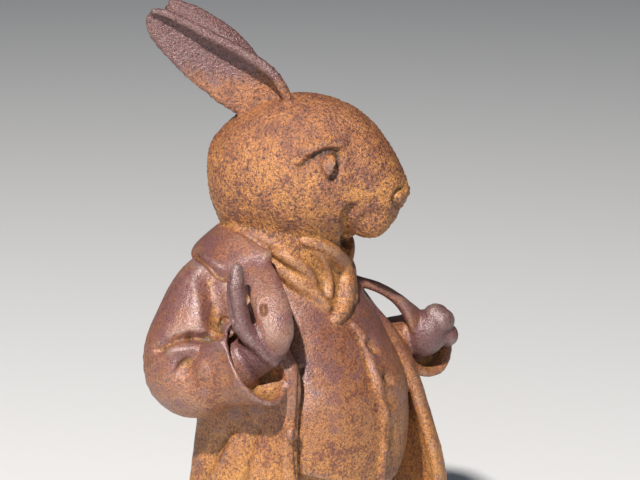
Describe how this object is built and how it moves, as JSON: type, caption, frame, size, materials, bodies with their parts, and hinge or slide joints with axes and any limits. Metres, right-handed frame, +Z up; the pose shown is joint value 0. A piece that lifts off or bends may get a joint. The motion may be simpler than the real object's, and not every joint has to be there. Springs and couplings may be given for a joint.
{
  "type": "rabbit statue",
  "caption": "Cast iron garden statue of a standing rabbit in an open coat, waistcoat and scarf, paws holding the lapels, on a low round base.",
  "frame": {"origin": "centre of the base's underside, on the floor", "axes": "+Z up, the figure's chest faces -Y, its right hand side is at -X; metres"},
  "size_m": [0.2517, 0.206, 0.5286],
  "materials": {
    "rusted_iron": "rusted"
  },
  "bodies": {
    "root": {"rabbit_statue": "rusted_iron"}
  },
  "joints": []
}
